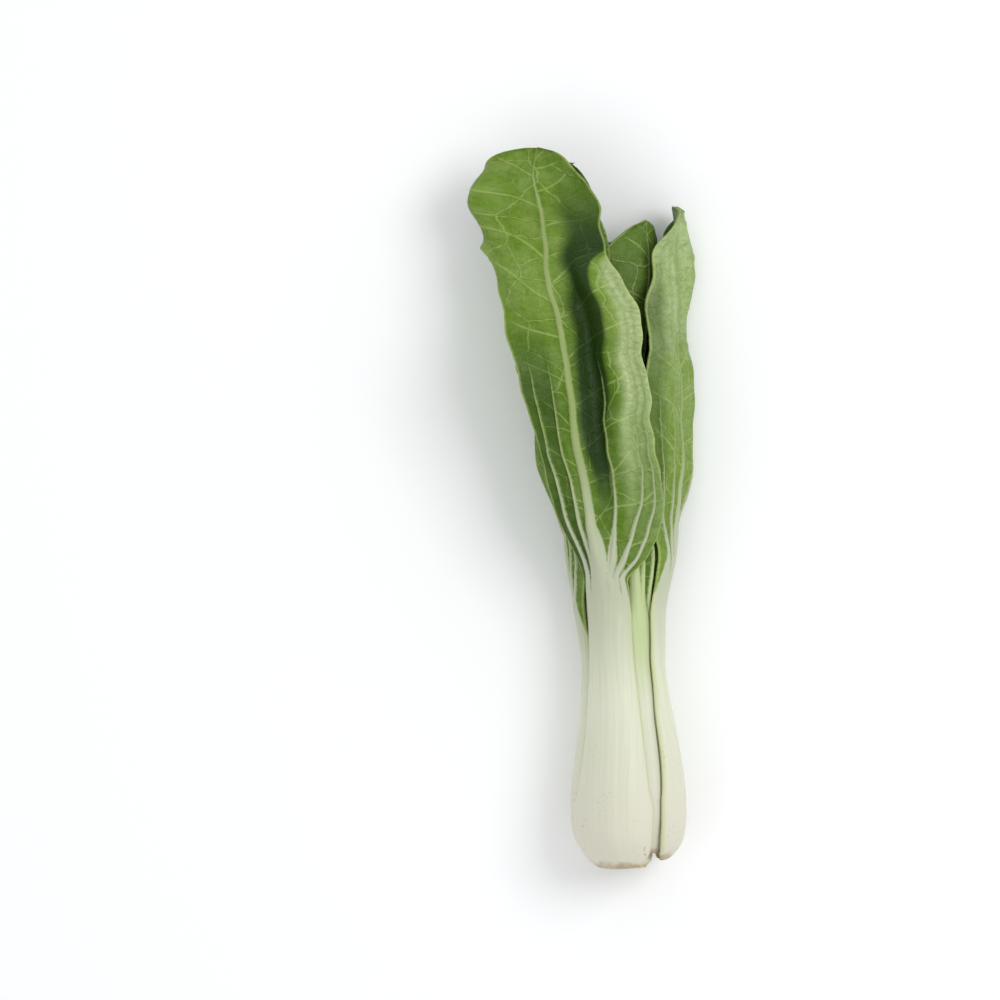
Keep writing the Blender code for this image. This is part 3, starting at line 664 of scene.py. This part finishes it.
def tone_and_shade(part, y, s):
    """How pale (above 0) or dark (below 0) the blade is: a random drift, a paler lobe, and painted
    shade in the outermost leaf's valley, low on its left, and along one side of the second leaf.
    """
    t = blade_share(part, y)
    v = np.clip(np.abs(s) / np.maximum(width_at(part, y, s), 1 * mm), 0, 1)
    drift = 0.12 * wander((part.rank, 5), 45 * mm, y, s)
    if part.rank == 1:
        # Painted shade on the outer half of the blade's side +, from low on it to near the tip.
        under = ease(v, 0.42, 0.8) * ease(t, 0.12, 0.3) * (1 - ease(t, 0.7, 0.95))
        return drift - np.where(s > 0, 0.5 * under, 0)
    if part.rank > 1:
        return drift
    # The valley between the near and far sides is painted shade; the lobe past the far side is paler.
    near, far = through(t, *VALLEY_NEAR), through(t, *VALLEY_FAR)
    soft = 0.09 + 0.12 * ease(t, 0.5, 0.75)
    ragged = v + 0.07 * ease(t, 0.4, 0.65) * wander((part.rank, 6), 14 * mm, y, s)
    valley = ease(ragged, near - soft, near + soft) * (1 - ease(v, far - 0.03, far + 0.05))
    valley = valley * ease(t, 0.08, 0.32) * (1 - 0.8 * ease(t, 0.68, 0.96))
    lobe = ease(v, far + 0.1, far + 0.26) * (0.4 + 0.6 * ease(t, 0.2, 0.45)) * ease(t, 0.05, 0.2)
    # Painted shade low on the blade's left, side +.
    shaded = 0.6 * ease(v, 0.2, 0.5) * (1 - ease(t, 0.42, 0.66))
    return drift + np.where(s < 0, lobe - VALLEY_PAINTED_SHADE * valley, -shaded)


def unit(vectors):
    return vectors / np.maximum(np.linalg.norm(vectors, axis=-1, keepdims=True), 1e-12)


def pressed(face):
    """The face, pressed flat where it would reach below the floor."""
    face[..., 2] = np.maximum(face[..., 2], 0)
    return face


def skin_of(part, point, ys, arcs):
    """A leaf's skin on its fine grid: the points of its inner face, its outer one and its rim, their
    normals, and what its material reads at each corner."""
    inner = pressed(point(ys, arcs, np.zeros(ys.shape)))
    outer = pressed(point(ys, arcs, relief(part, ys, arcs)))

    def normal(face):
        return unit(np.cross(np.gradient(face, axis=0), np.gradient(face, axis=1)))

    middle = (inner + outer) / 2
    rows, columns = ys.shape
    i = np.clip(np.arange(rows), 1, rows - 2)[:, None]
    j = np.clip(np.arange(columns), 1, columns - 2)[None, :]
    away = unit(middle - middle[i, j])
    rim = pressed(middle + away * RIM_BULGE * np.linalg.norm(outer - inner, axis=-1, keepdims=True))
    # Lengths in mm. "grown" runs from 0 to 1 up the stalk, and on to 2 at the blade's tip.
    fields = {
        "leaf": np.stack([arcs / mm + NOISE_APART * part.rank, ys / mm, 0 * ys], -1),
        "rib": rib_edge(part, ys, arcs) / mm,
        "vein": vein_phase(part, ys, arcs),
        "grown": np.where(ys < part.neck, ys / part.neck, 1 + blade_share(part, ys)),
        "margin": np.maximum(width_at(part, ys, arcs) - np.abs(arcs), 0) / mm,
        "foot": (ys - part.foot) / mm,
        "tone_and_shade": tone_and_shade(part, ys, arcs),
    }
    return (inner, outer, rim), (-normal(inner), normal(outer), away), fields


def add_object(name, data):
    obj = bpy.data.objects.new(name, data)
    bpy.context.scene.collection.objects.link(obj)
    return obj


def make_piece(name, points, faces, fields, material, normals=None):
    """A mesh object from points, faces and the fields at its points."""
    mesh = bpy.data.meshes.new(name)
    mesh.from_pydata(points.tolist(), [], faces)
    for field, values in fields.items():
        vector = values.ndim == 2
        attribute = mesh.attributes.new(field, "FLOAT_VECTOR" if vector else "FLOAT", "POINT")
        attribute.data.foreach_set("vector" if vector else "value", values.astype(np.float32).ravel())
    mesh.materials.append(material)
    mesh.shade_smooth()
    if normals is not None:
        mesh.normals_split_custom_set_from_vertices(normals.tolist())
    return add_object(name, mesh)


def cell_piece(name, skin, member, material):
    """A closed piece of the member cells: both faces, a rounded rim, and plain walls elsewhere."""
    rows, columns = member.shape
    padded = np.pad(member, 1)
    used = padded[:-1, :-1] | padded[:-1, 1:] | padded[1:, :-1] | padded[1:, 1:]
    count = int(used.sum())
    index = np.full(used.shape, -1)
    index[used] = np.arange(count)
    inner = np.zeros((rows - 1, columns - 1), bool)
    on_rim = used & np.pad(inner, 1, constant_values=True)
    rim_index = np.full(used.shape, -1)
    rim_index[on_rim] = 2 * count + np.arange(int(on_rim.sum()))

    i, j = np.nonzero(member)

    def corners(numbers):
        return np.stack([numbers[i, j], numbers[i, j + 1], numbers[i + 1, j + 1], numbers[i + 1, j]], -1)

    ring, rims = corners(index), corners(rim_index)
    faces = [ring, ring[:, ::-1] + count]
    beyond = ((i - 1, j), (i, j + 1), (i + 1, j), (i, j - 1))
    for side, (bi, bj) in enumerate(beyond):
        outside = (bi < 0) | (bi >= rows) | (bj < 0) | (bj >= columns)
        wall = ~padded[bi + 1, bj + 1]
        a, b = ring[:, side], ring[:, (side + 1) % 4]
        ra, rb = rims[:, side], rims[:, (side + 1) % 4]
        plain = wall & ~outside
        faces.append(np.stack([b, a, a + count, b + count], -1)[plain])
        faces.append(np.stack([b, a, ra, rb], -1)[outside])
        faces.append(np.stack([rb, ra, a + count, b + count], -1)[outside])
    faces = np.concatenate(faces)

    shown = (used, used, on_rim)
    skin_points, skin_normals, skin_fields = skin
    points = np.concatenate([v[where] for v, where in zip(skin_points, shown)])
    normals = np.concatenate([v[where] for v, where in zip(skin_normals, shown)])
    fields = {k: np.concatenate([v[where] for where in shown]) for k, v in skin_fields.items()}
    fields["outer"] = np.concatenate([np.zeros(count), np.ones(count), np.full(int(on_rim.sum()), 0.6)])
    return make_piece(name, points, faces.tolist(), fields, material, normals)


def dress_leaf(part, point, material):
    """The fine pieces that stand for the leaf's white solid and its green one."""
    ys, arcs, cell_rows, cell_columns = fine_grid(part)
    white = white_cells(part, cell_rows, cell_columns)
    skin = skin_of(part, point, ys, arcs)
    blade_slot = "heart_blade" if part.rank >= HEART_RANK else "blade"
    for kind, member, slot in (("stalk", white, "stalk"), ("blade", ~white, blade_slot)):
        node = f"{part.name}_{kind}"
        piece = cell_piece(f"{node}_fine", skin, member, material)
        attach(piece, BODY)
        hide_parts(node)


def dress_crown(material):
    """A finely turned crown, its cut face a little uneven."""
    stations = np.concatenate([np.linspace(0, 6, 13), np.linspace(7, 25, 19)]) * mm
    theta = TURN * np.arange(CROWN_SIDES) / CROWN_SIDES
    points, cut, faces = [], [], []

    def add_ring(y, radius):
        for angle, across in zip(theta, radius + 0 * theta):
            points.append(place(y, angle, across))
            cut.append((across / mm * math.cos(angle), across / mm * math.sin(angle), y / mm))
        return range(len(points) - CROWN_SIDES, len(points))

    rings = []
    for k in range(1, CUT_RINGS):
        radius = CROWN_CUT_RADIUS * k / CUT_RINGS
        rough = CUT_DIP * (1 + wander(5, CUT_DIP_RUN, radius * np.cos(theta), radius * np.sin(theta)))
        rings.append(add_ring(0, radius))
        for corner, dip in zip(rings[-1], rough):
            points[corner] = points[corner] + np.array([0, dip, 0])
    for station in stations:
        rings.append(add_ring(station, float(crown_radius(station))))
    for low, high in zip(rings, rings[1:]):
        for k in range(CROWN_SIDES):
            n = (k + 1) % CROWN_SIDES
            faces.append([low[n], low[k], high[k], high[n]])
    for ring, y, flip in ((rings[0], CENTRE_DIP, False), (rings[-1], CROWN_HEIGHT, True)):
        centre = len(points)
        points.append(place(y, 0.0, 0.0))
        cut.append((0, 0, y / mm))
        for k in range(CROWN_SIDES):
            a, b = ring[k], ring[(k + 1) % CROWN_SIDES]
            faces.append([b, a, centre] if flip else [a, b, centre])
    piece = make_piece("crown_fine", np.array(points), faces, {"cut": np.array(cut, float)}, material)
    piece.data.set_sharp_from_angle(angle=math.radians(SHARP_DEG))
    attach(piece, BODY)
    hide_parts("crown")


def srgb(red, green, blue):
    """A colour from the values that a picture gives it, 0 to 255."""
    shares = [v / 255 for v in (red, green, blue)]
    linear = [v / 12.92 if v <= 0.04045 else ((v + 0.055) / 1.055) ** 2.4 for v in shares]
    return (*linear, 1.0)


class Shade:
    """A material's node tree, with a short call for each kind of node."""

    def __init__(self, name):
        self.material = bpy.data.materials.new(name)
        self.material.use_nodes = True
        self.tree = self.material.node_tree
        self.shader = self.tree.nodes["Principled BSDF"]

    def put(self, socket, value):
        if isinstance(value, bpy.types.NodeSocket):
            self.tree.links.new(value, socket)
        else:
            socket.default_value = value

    def node(self, kind, inputs, output=0, **settings):
        made = self.tree.nodes.new(kind)
        for key, value in settings.items():
            setattr(made, key, value)
        for key, value in inputs.items():
            self.put(made.inputs[key], value)
        return made.outputs[output]

    def field(self, name, vector=False):
        made = self.node("ShaderNodeAttribute", {}, output="Vector" if vector else "Fac")
        made.node.attribute_name = name
        return made

    def math(self, operation, a, b=0.0, clamp=False):
        return self.node("ShaderNodeMath", {0: a, 1: b}, operation=operation, use_clamp=clamp)

    def plus(self, a, b):
        return self.math("ADD", a, b)

    def times(self, a, b, clamp=False):
        return self.math("MULTIPLY", a, b, clamp)

    def larger(self, a, b):
        return self.math("MAXIMUM", a, b)

    def total(self, first, *others):
        """The sum of the terms, each a value and its weight."""
        result = self.times(*first)
        for term in others:
            result = self.plus(result, self.times(*term))
        return result

    def ramp(self, value, low, high, start=0.0, end=1.0):
        """start below low, end above high, and smooth between. low may be the higher one."""
        if low > high:
            low, high, start, end = high, low, end, start
        inputs = {"Value": value, "From Min": low, "From Max": high, "To Min": start, "To Max": end}
        return self.node("ShaderNodeMapRange", inputs, interpolation_type="SMOOTHSTEP")

    def mix(self, share, a, b):
        made = self.tree.nodes.new("ShaderNodeMix")
        made.data_type = "RGBA"
        for key, value in ((0, share), (6, a), (7, b)):
            self.put(made.inputs[key], value)
        return made.outputs[2]

    def laid(self, under, over, value, low, high, most=1.0):
        """The colour under, covered by another as much as a ramp says."""
        return self.mix(self.ramp(value, low, high, 0.0, most), under, over)

    def vector(self, operation, a, b):
        return self.node("ShaderNodeVectorMath", {0: a, 1: b}, operation=operation)

    def noise(self, vector, size, detail, output="Fac"):
        """A noise with swells of this size, in the vector's units."""
        inputs = {"Vector": vector, "Scale": 1 / size, "Detail": detail}
        return self.node("ShaderNodeTexNoise", inputs, output=output)

    def net(self, vector, size, width):
        """Lines of this width in mm between cells of this size in mm."""
        edge = self.tree.nodes.new("ShaderNodeTexVoronoi")
        edge.voronoi_dimensions = "2D"
        edge.feature = "DISTANCE_TO_EDGE"
        self.put(edge.inputs["Vector"], vector)
        self.put(edge.inputs["Scale"], 1 / size)
        return self.ramp(edge.outputs["Distance"], 0.8 * width / size, 0.2 * width / size)

    def finish(self, colour, roughness, height, depth):
        self.put(self.shader.inputs["Base Color"], colour)
        self.put(self.shader.inputs["Roughness"], roughness)
        self.put(self.shader.inputs["Specular IOR Level"], SPECULAR)
        bump = self.node("ShaderNodeBump", {"Height": height, "Distance": depth})
        self.put(self.shader.inputs["Normal"], bump)
        return self.material


@dataclass(frozen=True)
class Greens:
    """The greens of one leaf's underside."""

    low: tuple  # between the ribs, just above the neck
    body: tuple
    light: tuple  # what the body drifts to in patches
    dark: tuple
    pale: tuple


VIVID = srgb(84, 119, 4)
DEEP = srgb(14, 42, 4)
UPPER_SIDE = srgb(52, 88, 22)
VEIN = srgb(176, 194, 114)
RIB_ON_BLADE = srgb(144, 161, 96)
STALK = srgb(219, 221, 199)
STALK_GREEN = srgb(203, 213, 172)
STALK_NECK = srgb(172, 179, 150)
STALK_YOUNG = srgb(168, 190, 104)
STALK_CREAM = srgb(217, 212, 195)
STALK_EDGE = srgb(196, 203, 128)
SPECK = srgb(176, 124, 92)
DRY = srgb(168, 138, 96)
PITH, PITH_STAIN = srgb(206, 196, 160), srgb(180, 160, 116)
VESSELS = srgb(146, 112, 70)
CUT_RIM = srgb(138, 106, 70)
CROWN_SIDE = srgb(224, 222, 196)
FLOOR_WHITE = srgb(252, 252, 252)

FRONT = Greens(VIVID, srgb(100, 134, 24), srgb(124, 153, 50), DEEP, srgb(182, 198, 142))
FOLDED = Greens(srgb(110, 142, 34), srgb(144, 168, 92), srgb(170, 189, 132), DEEP, srgb(190, 203, 160))
SHADED = Greens(srgb(80, 114, 12), srgb(80, 112, 26), srgb(100, 130, 44), DEEP, srgb(140, 162, 100))
HEART = Greens(
    srgb(176, 196, 84), srgb(170, 192, 74), srgb(190, 206, 104), srgb(110, 142, 30), srgb(206, 216, 140),
)
GREENS = {0: FRONT, 1: FOLDED, 2: FRONT}  # the other leaves are SHADED, and the innermost ones HEART

# Where a stalk starts to take on its neck's colour, where it ends, how much it takes, and the colour.
NECK_TINT = (0.55, 1.0, 0.75, STALK_NECK)
NECK_TINTS = {3: (0.6, 0.95, 0.6, STALK_YOUNG)}  # the young stalk that shows between two outer ones

VEIN_NETS = ((15.0, 0.6), (4.6, 0.32), (1.5, 0.2))  # the cells' size and the lines' width, in mm
BLADE_ROUGHNESS, STALK_ROUGHNESS = 0.46, 0.36
SPECULAR = 0.22
LEAF_BUMP, CUT_BUMP = 0.35 * mm, 0.3 * mm


class LeafShade(Shade):
    """One leaf's material, with the fields and noises that more than one of its layers reads."""

    def __init__(self, part):
        super().__init__(part.name)
        self.part = part
        self.leaf = self.field("leaf", vector=True)
        self.rib, self.grown, self.margin = map(self.field, ("rib", "grown", "margin"))
        self.foot, self.tone_and_shade = map(self.field, ("foot", "tone_and_shade"))
        self.mottle = self.noise(self.leaf, 1.7, 4)
        self.blister = self.noise(self.leaf, 6, 2)
        self.streaks = self.noise(self.vector("MULTIPLY", self.leaf, (0.9, 0.018, 1.0)), 1, 3)
        self.fine_streaks = self.noise(self.vector("MULTIPLY", self.leaf, (2.6, 0.03, 1.0)), 1, 2)
        bend = self.vector("SUBTRACT", self.noise(self.leaf, 8, 2, output="Color"), (0.5, 0.5, 0.5))
        bent = self.vector("ADD", self.leaf, self.vector("MULTIPLY", bend, (5, 5, 5)))
        self.nets = [self.net(bent, size, width) for size, width in VEIN_NETS]

    def bare_green(self, greens):
        """The green of the blade between its veins."""
        patches = self.noise(self.leaf, 24, 2)
        green = self.laid(greens.body, greens.light, patches, 0.35, 0.65)
        green = self.laid(green, greens.low, self.grown, 1.75, 1.4, 0.9)
        green = self.mix(self.times(self.tone_and_shade, 1.0, clamp=True), green, greens.pale)
        green = self.laid(green, greens.low, self.rib, 3.0, 0.2, 0.35)
        green = self.laid(green, greens.dark, self.mottle, 0.3, 0.72, 0.22)
        green = self.laid(green, greens.pale, self.blister, 0.4, 0.7, 0.1)
        # Below 0 the tone darkens the green: painted shade, with the darker random drift.
        dark_tone_and_shade = self.times(self.times(self.tone_and_shade, -1.0, clamp=True), 0.9)
        green = self.mix(dark_tone_and_shade, green, greens.dark)
        return self.laid(green, UPPER_SIDE, self.field("outer"), 0.5, 0.2, 0.75)

    def veins(self):
        """How strongly the net of veins and the midrib's side veins show."""
        large, middle, small = self.nets
        off = self.math("SUBTRACT", self.math("FRACT", self.field("vein")), 0.5)
        off = self.math("SUBTRACT", 0.5, self.math("ABSOLUTE", off))
        side_vein = self.ramp(off, 0.62 * mm / VEIN_RUN, 0.16 * mm / VEIN_RUN)
        strong = self.larger(large, self.times(side_vein, 1.2))
        strong = self.times(strong, self.ramp(self.margin, 0.5, 5.0, 0.0, 0.36))
        weak = self.larger(self.times(middle, 0.16), self.times(small, 0.07))
        # The veins fade where the painted shade darkens the blade.
        return self.times(self.larger(strong, weak), self.ramp(self.tone_and_shade, -0.9, 0.1, 0.12, 1.0))

    def white(self):
        """The white of the stalk, streaked lengthwise, creamy at the foot and greener towards the neck."""
        start, full, amount, neck_colour = NECK_TINTS.get(self.part.rank, NECK_TINT)
        white = self.laid(STALK, STALK_GREEN, self.streaks, 0.45, 0.75, 0.7)
        white = self.laid(white, STALK_GREEN, self.fine_streaks, 0.5, 0.8, 0.35)
        white = self.laid(white, neck_colour, self.grown, start, full, amount)
        white = self.laid(white, STALK_CREAM, self.foot, 70.0, 8.0, 0.75)
        return self.laid(white, STALK_EDGE, self.margin, 1.1, 0.2, 0.45)

    def worn(self, white):
        """The white with brown specks in places, and dried at its ragged foot."""
        specks = self.ramp(self.noise(self.leaf, 1.4, 3), 0.6, 0.7)
        places = self.ramp(self.noise(self.leaf, 17, 1), 0.5, 0.62)
        spots = self.times(self.times(specks, places), self.ramp(self.foot, 70.0, 25.0, 0.0, 0.6))
        white = self.mix(spots, white, SPECK)
        ragged = self.plus(self.foot, self.times(self.noise(self.leaf, 3.5, 3), -6.0))
        return self.laid(white, DRY, ragged, 0.5, -3.5, 0.8)


def leaf_material(part):
    """White stalk and ribs, green blade and its net of veins, in one material."""
    shade = LeafShade(part)
    greens = HEART if part.rank >= HEART_RANK else GREENS.get(part.rank, SHADED)
    green = shade.mix(shade.veins(), shade.bare_green(greens), VEIN)
    green = shade.laid(green, VEIN, shade.margin, 0.7, 0.1, 0.5)
    white = shade.worn(shade.white())

    # Ribs are white at the neck, and take on green as they run up the blade.
    rib_colour = shade.laid(white, RIB_ON_BLADE, shade.grown, 0.99, 1.4)
    ragged = shade.plus(shade.rib, shade.times(shade.math("SUBTRACT", shade.mottle, 0.5), 0.5))
    on_rib = shade.ramp(ragged, 0.42, -0.3)
    colour = shade.mix(on_rib, green, rib_colour)

    roughness = shade.ramp(ragged, 0.42, -0.3, BLADE_ROUGHNESS, STALK_ROUGHNESS)
    roughness = shade.plus(roughness, shade.ramp(shade.mottle, 0.3, 0.7, -0.04, 0.08))
    large, middle, small = shade.nets
    netted = shade.total((large, 0.7), (middle, 0.45), (small, 0.16), (shade.blister, -0.9))
    grooved = shade.total((shade.fine_streaks, 0.5), (shade.streaks, 0.25))
    return shade.finish(colour, roughness, shade.mix(on_rib, netted, grooved), LEAF_BUMP)


def crown_material():
    """A dried cut: cream pith, a brown ring of vessels, and a browned rim. Its radii are in mm."""
    shade = Shade("crown_cut")
    cut = shade.field("cut", vector=True)
    flat = shade.vector("MULTIPLY", cut, (1, 1, 0))
    rough = shade.noise(cut, 1.3, 4)
    radius = shade.node("ShaderNodeVectorMath", {0: flat}, output="Value", operation="LENGTH")
    radius = shade.plus(radius, shade.times(rough, 1.2))
    ring = shade.times(shade.ramp(radius, 6.3, 7.4), shade.ramp(radius, 9.2, 8.2))
    vessels = shade.ramp(shade.noise(cut, 0.9, 2), 0.45, 0.6, 0.3, 1.0)
    above_cut = shade.node("ShaderNodeSeparateXYZ", {0: cut}, output=2)
    colour = shade.laid(PITH, PITH_STAIN, rough, 0.35, 0.7)
    colour = shade.mix(shade.times(ring, vessels), colour, VESSELS)
    colour = shade.laid(colour, CUT_RIM, radius, 10.2, 11.4, 0.7)
    colour = shade.laid(colour, CROWN_SIDE, above_cut, 0.6, 3.0)
    height = shade.plus(rough, shade.times(shade.noise(cut, 0.4, 2), 0.4))
    return shade.finish(colour, shade.ramp(rough, 0.3, 0.7, 0.6, 0.8), height, CUT_BUMP)


def make_floor():
    """A square floor, a hair under the head so that the two never share a plane."""
    shade = Shade("studio_floor")
    shade.put(shade.shader.inputs["Base Color"], FLOOR_WHITE)
    shade.put(shade.shader.inputs["Roughness"], 0.8)
    corners = ((-1, -1), (1, -1), (1, 1), (-1, 1))
    points = [(x * FLOOR_HALF, y * FLOOR_HALF, -FLOOR_DROP) for x, y in corners]
    mesh = bpy.data.meshes.new("studio_floor")
    mesh.from_pydata(points, [], [(0, 1, 2, 3)])
    mesh.materials.append(shade.material)
    add_object("studio_floor", mesh)


def make_softbox(name, location, side, power):
    """A square light that faces the origin."""
    data = bpy.data.lights.new(name, "AREA")
    data.shape = "SQUARE"
    data.size = side
    data.energy = power
    light = add_object(name, data)
    light.location = location
    light.rotation_euler = (-light.location).to_track_quat("-Z", "Y").to_euler()


def make_light():
    world = bpy.data.worlds.new("studio")
    world.use_nodes = True
    sky = world.node_tree.nodes["Background"]
    sky.inputs["Color"].default_value = SKY
    sky.inputs["Strength"].default_value = SKY_STRENGTH
    bpy.context.scene.world = world
    for softbox in SOFTBOXES:
        make_softbox(*softbox)
    bpy.context.scene.view_settings.view_transform = "Standard"


def make_camera():
    """A camera straight above, with a long lens as the photograph's."""
    data = bpy.data.cameras.new("camera")
    data.sensor_width = SENSOR
    data.lens = SENSOR * CAMERA_DISTANCE / VIEW_WIDTH
    data.clip_start, data.clip_end = 0.1, 20
    camera = add_object("camera", data)
    camera.location = (*VIEW_CENTRE, VIEW_LEVEL + CAMERA_DISTANCE)
    bpy.context.scene.camera = camera


def main():
    make_camera()
    make_light()
    make_floor()
    dress_crown(crown_material())
    layup = Layup()
    for part in reversed(LEAVES):
        dress_leaf(part, layup.sheet_of(part), leaf_material(part))
        layup.add(part)


main()
